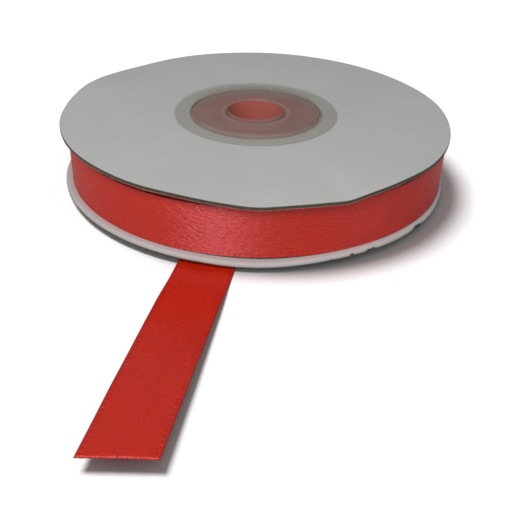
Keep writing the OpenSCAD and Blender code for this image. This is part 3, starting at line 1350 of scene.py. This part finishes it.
    def led_out(self, a: np.ndarray, b: np.ndarray) -> np.ndarray:
        """Places past the fold.

        Args:
            a: distance across the free end.
            b: distance above the ribbon's lower edge or, below 0, further along the free end.

        Returns:
            Points.
        """
        t = self.width - b
        s = np.interp(t, self.path_t, self.path_s)
        z = np.interp(t, self.path_t, self.path_z)
        z = z + self.card.deepest(s) * np.clip(b / self.width, 0.0, 1.0) ** 2
        curl = 1.0 - smooth_step((t - (self.width - self.lean)) / self.lean)
        angle = a / self.roll_r
        tail = smooth_step((-s - self.tail_start) / self.tail_ease)
        crest = self.crest * tail * np.cos(math.pi * (a - self.offset) / self.width)
        ripple = self.ripple * tail * np.sin(TURN * s / self.ripple_pitch + a / self.ripple_slant)
        wound = self.to_frame(s * np.cos(angle), s * np.sin(angle), z)
        flat = self.to_frame(s, a, z + crest + ripple)
        return curl[..., None] * wound + (1 - curl[..., None]) * flat

    def place_at(self, t: float) -> float:
        """Place along the strip's middle of a length along the folded-down part."""
        return self.fold_q - self.width / 2 + math.pi * self.fold_radius / math.sqrt(2) + t

    def rows(self) -> np.ndarray:
        """Places of the strip's rows along it.

        Returns:
            The places, close at the fold and the bend, and wider elsewhere.
        """
        angle = math.radians(90.0 - self.skew_deg)
        cut_s = (self.reach + self.offset * math.cos(angle)) / math.sin(angle)
        end = self.place_at(float(np.interp(cut_s, -self.path_s, self.path_t)))
        before = self.fold_q - self.near_fold
        after = self.fold_q + self.near_fold
        bend = self.place_at(self.high_z) + self.past_bend
        stretches = ((0.0, before, self.row_step), (before, after, self.fold_step),
                     (after, bend, self.bend_step), (bend, end, self.row_step))
        return np.concatenate([np.linspace(a, b, max(2, round((b - a) / step)), endpoint=False)
                               for a, b, step in stretches] + [[end]])

    def slant(self, q: np.ndarray) -> np.ndarray:
        """How far each row leans.

        Args:
            q: places of the rows along the strip.

        Returns:
            The lean, which is 1 along the fold, 0 where a row is square, and the cut's own at the cut end.
        """
        start, ease = self.fold_lean
        at_fold = 1.0 - smooth_step((np.abs(q - self.fold_q) - start) / ease)
        start, ease = self.cut_lean
        at_cut = smooth_step((q - (q[-1] - start)) / ease)
        return at_fold - at_cut * math.tan(math.radians(self.skew_deg))

    def build(self) -> None:
        """Builds the strip with its thickness, its corded edges and its cut ends."""
        inset = np.array((0.0, 0.08, 0.2, 0.34, 0.46, 0.6, 0.9)) * MM
        inner = np.linspace(1.5 * MM, self.width - 1.5 * MM, 13)
        v = np.concatenate([inset, inner, self.width - inset[::-1]])
        q = self.rows()
        u = q[:, None] - self.slant(q)[:, None] * (v - self.width / 2)[None, :]
        u[-1] += self.frayed * np.random.default_rng(8).uniform(-1.0, 0.2, len(v))
        grid_v = np.broadcast_to(v, u.shape)
        middle = self.middle(u, grid_v)
        normal = np.cross(np.gradient(middle, axis=1), np.gradient(middle, axis=0))
        normal /= np.linalg.norm(normal, axis=-1, keepdims=True)
        edge = np.minimum(v, self.width - v)
        cord = np.exp(-((edge - self.cord_at) / self.cord_width) ** 2)
        seam = np.exp(-((edge - self.seam_at) / self.seam_width) ** 2)
        bead = self.edge_bead * (cord - 0.7 * seam)
        half = self.thickness / 2 * np.clip(0.45 + edge / self.edge_round, 0.0, 1.0) + bead
        upper = middle + normal * half[None, :, None]
        lower = middle - normal * half[None, :, None]
        loop = np.concatenate([upper, lower[:, ::-1]], 1)
        uv = np.concatenate([np.stack([u, grid_v], -1), np.stack([u, grid_v], -1)[:, ::-1]], 1)
        rows, columns = loop.shape[:2]
        faces = wrapped_quads(rows, columns, False)
        slots = [0 if j < len(v) - 1 or j == columns - 1 else 1
                 for _ in range(rows - 1) for j in range(columns)]
        count = len(v)
        for row in (0, rows - 1):
            start = row * columns
            faces += [(start + j, start + j + 1, start + columns - 2 - j, start + columns - 1 - j)
                      for j in range(count - 1)]
            slots += [1] * (count - 1)
        strip = make_mesh("ribbon_strip", loop.reshape(-1, 3), faces,
                          [SATIN_FACE.material(), SATIN_BACK.material()], slots, uv.reshape(-1, 2))
        outward(strip)
        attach(strip, self.body)
        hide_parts("ribbon_last_turn", "ribbon_free_end")
        LOG.info("%s: %.0f mm long, %d faces", strip.name, q[-1] / MM, len(faces))


def dress_tape() -> None:
    """Gives the hidden starter tape its paper."""
    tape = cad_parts["starter_tape"]
    tape.data.materials.clear()
    tape.data.materials.append(TAPE.material())
    LOG.info("starter_tape: dressed")


UPPER_BENDS = (
    Bend(160.0, 12.0, 0.55 * MM),
    Bend(134.0, 11.0, -0.30 * MM),
    Bend(200.0, 14.0, 0.34 * MM),
    Bend(228.0, 19.0, 0.62 * MM),
    Bend(250.0, 9.0, 0.42 * MM),
    Bend(271.0, 7.0, -0.55 * MM),
    Bend(294.0, 4.5, -0.50 * MM),
    Bend(287.0, 9.0, -0.30 * MM),
    Bend(313.0, 10.0, 0.38 * MM),
    Bend(75.0, 38.0, 0.24 * MM),
    Bend(12.0, 14.0, 0.16 * MM),
)
LOWER_BENDS = (
    Bend(225.0, 20.0, 0.22 * MM),
    Bend(271.0, 12.0, -0.34 * MM),
    Bend(298.0, 14.0, 0.18 * MM),
)
UPPER_NICKS = (
    Nick(-117.7, 0.5 * MM, 0.45 * MM),
    Nick(-66.0, 0.8 * MM, 0.15 * MM),
    Nick(35.0, 0.7 * MM, -0.2 * MM),
    Nick(-51.0, 0.9 * MM, 0.25 * MM),
    Nick(-128.0, 0.6 * MM, 0.2 * MM),
)
LOWER_NICKS = (
    Nick(-70.1, 1.6 * MM, -0.14 * MM),
    Nick(-63.3, 0.9 * MM, -0.25 * MM),
    Nick(-57.6, 1.4 * MM, -0.32 * MM),
    Nick(-38.5, 2.4 * MM, -0.34 * MM),
    Nick(-103.6, 0.5 * MM, -0.12 * MM),
    Nick(120.0, 0.9 * MM, -0.3 * MM),
)


# ---------------------------------------------------------------- stage

class Reach(Enum):
    """What a lamp lights."""

    SPOOL = 1
    FLOOR = 2
    RIBBON = 3


@dataclass(frozen=True)
class Lamp:
    """A soft lamp: which way it stands from the spool, and what it lights."""

    name: str
    reach: Reach
    azimuth_deg: float
    elevation_deg: float
    strength: float

    def way(self) -> Vector:
        """Works out the direction from the spool to the lamp.

        Returns:
            The direction, one metre long.
        """
        turn = math.radians(self.azimuth_deg)
        tilt = math.radians(self.elevation_deg)
        return Vector((math.cos(turn) * math.cos(tilt), math.sin(turn) * math.cos(tilt), math.sin(tilt)))

    def light(self) -> bpy.types.Light:
        """Makes the light itself, which a kind of lamp overrides."""
        raise NotImplementedError

    def add(self, target: Vector, distance: float, floor: bpy.types.Object) -> None:
        """Adds the lamp.

        Args:
            target: the point that it faces.
            distance: how far from that point it is.
            floor: the floor, which a lamp lights alone or leaves out, or which gives way to the ribbon.
        """
        lamp = bpy.data.objects.new(self.name, self.light())
        lamp.location = target + self.way() * distance
        lamp.rotation_euler = (-self.way()).to_track_quat("-Z", "Y").to_euler()
        bpy.context.scene.collection.objects.link(lamp)
        lit = bpy.data.collections.new(self.name + "_lights")
        lit.objects.link(bpy.data.objects["ribbon_strip"] if self.reach is Reach.RIBBON else floor)
        lamp.light_linking.receiver_collection = lit
        state = "EXCLUDE" if self.reach is Reach.SPOOL else "INCLUDE"
        lit.collection_objects[0].light_linking.link_state = state


@dataclass(frozen=True)
class SoftBox(Lamp):
    """A square softbox, whose strength is in watts."""

    width: float = 0.2
    colour: Colour = (1.0, 1.0, 1.0)

    def light(self) -> bpy.types.Light:
        """Makes a square area light.

        Returns:
            The light.
        """
        light = bpy.data.lights.new(self.name, "AREA")
        light.size = self.width
        light.color = self.colour
        light.energy = self.strength
        return light


@dataclass(frozen=True)
class SoftSun(Lamp):
    """An even light from far away, whose strength is in watts per square metre."""

    spread_deg: float = 18.0

    def light(self) -> bpy.types.Light:
        """Makes a sun light with soft shadows.

        Returns:
            The light.
        """
        light = bpy.data.lights.new(self.name, "SUN")
        light.angle = math.radians(self.spread_deg)
        light.energy = self.strength
        return light


@dataclass
class Stage:
    """A pale floor, soft lamps and the camera."""

    floor_width: float = 3.0
    floor_colour: Colour = (0.38, 0.38, 0.38)
    floor_seen: Colour = (0.92, 0.92, 0.92)
    ambient: float = 0.26
    camera_height: float = 83.2 * MM
    camera_back: float = 169.23 * MM
    pitch_deg: float = 32.691
    yaw_deg: float = 0.269
    roll_deg: float = 1.653
    lens_mm: float = 52.217
    lamp_distance: float = 0.40
    lamp_target: tuple[float, float, float] = (0.0, -0.02, 0.01)
    lamps: tuple[Lamp, ...] = (
        SoftSun("window_lamp", Reach.FLOOR, 163.0, 70.0, strength=2.95, spread_deg=22.0),
        SoftBox("front_lamp", Reach.SPOOL, -111.0, 49.0, strength=0.85, width=0.17),
        SoftBox("glint_lamp", Reach.RIBBON, -108.0, 12.0, strength=0.38, width=0.10,
                colour=(0.22, 1.0, 1.0)),
        SoftBox("side_lamp", Reach.SPOOL, -25.0, 16.0, strength=0.10, width=0.25),
    )

    def build(self) -> None:
        """Adds the floor, the lamps, the surroundings and the camera."""
        floor = self.add_floor()
        for lamp in self.lamps:
            lamp.add(Vector(self.lamp_target), self.lamp_distance, floor)
        self.add_world()
        self.add_camera()
        bpy.context.scene.view_settings.view_transform = "Standard"

    def add_floor(self) -> bpy.types.Object:
        """Adds a matte floor that the camera sees brighter than the object does.

        Returns:
            The floor.
        """
        half = self.floor_width / 2
        corners = half * np.array([(-1.0, -1.0, 0.0), (1.0, -1.0, 0.0), (1.0, 1.0, 0.0), (-1.0, 1.0, 0.0)])
        made = bpy.data.materials.new("pale_floor")
        made.use_nodes = True
        t = Tree(made.node_tree)
        made.node_tree.nodes.remove(made.node_tree.nodes["Principled BSDF"])
        matte = t.add("BsdfDiffuse")
        path = t.add("LightPath")
        seen = t.blend(path.outputs["Is Camera Ray"], self.floor_colour, self.floor_seen)
        t.put(matte.inputs["Color"], seen)
        t.put(made.node_tree.nodes["Material Output"].inputs["Surface"], matte.outputs[0])
        floor = make_mesh("floor", corners, [(0, 1, 2, 3)], [made])
        return floor

    def add_world(self) -> None:
        """Lights the scene evenly from all round, and shows white behind it."""
        world = bpy.data.worlds.new("surroundings")
        world.use_nodes = True
        bpy.context.scene.world = world
        t = Tree(world.node_tree)
        path = t.add("LightPath")
        back = world.node_tree.nodes["Background"]
        back.inputs["Color"].default_value = (1.0, 1.0, 1.0, 1.0)
        t.put(back.inputs["Strength"], t.spread(path.outputs["Is Camera Ray"], 0.0, 1.0, self.ambient, 1.0))

    def add_camera(self) -> None:
        """Adds the camera in front of the spool, looking down at it."""
        data = bpy.data.cameras.new("camera")
        data.lens = self.lens_mm
        data.sensor_width = 36.0
        data.clip_start = 0.01
        camera = bpy.data.objects.new("camera", data)
        pitch, yaw, roll = (math.radians(a) for a in (self.pitch_deg, self.yaw_deg, self.roll_deg))
        ahead = Vector((math.sin(yaw) * math.cos(pitch), math.cos(yaw) * math.cos(pitch), -math.sin(pitch)))
        level = Vector((math.cos(yaw), -math.sin(yaw), 0.0))
        square = level.cross(ahead)
        right = math.cos(roll) * level + math.sin(roll) * square
        up = math.cos(roll) * square - math.sin(roll) * level
        turn = Matrix((right, up, -ahead)).transposed().to_4x4()
        camera.matrix_world = Matrix.Translation((0.0, -self.camera_back, self.camera_height)) @ turn
        bpy.context.scene.collection.objects.link(camera)
        bpy.context.scene.camera = camera


def main() -> None:
    """Builds the spool piece by piece, then its stage."""
    logging.basicConfig(level=logging.INFO, format="%(name)s %(message)s")
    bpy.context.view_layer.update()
    upper = CardDisc("upper_card", Facing.UP, UPPER_BENDS, UPPER_NICKS, seed=11, die_roll=0.36 * MM,
                     inner_finish=UPPER_INNER_PAPER)
    lower = CardDisc("lower_card", Facing.DOWN, LOWER_BENDS, LOWER_NICKS, seed=47, die_roll=0.80 * MM,
                     inner_finish=LOWER_INNER_PAPER)
    upper.build()
    lower.build()
    Hub().build()
    WoundRoll(upper).build()
    RibbonEnd(upper).build()
    dress_tape()
    Stage().build()
    bpy.context.view_layer.update()


if __name__ == "__main__":
    main()
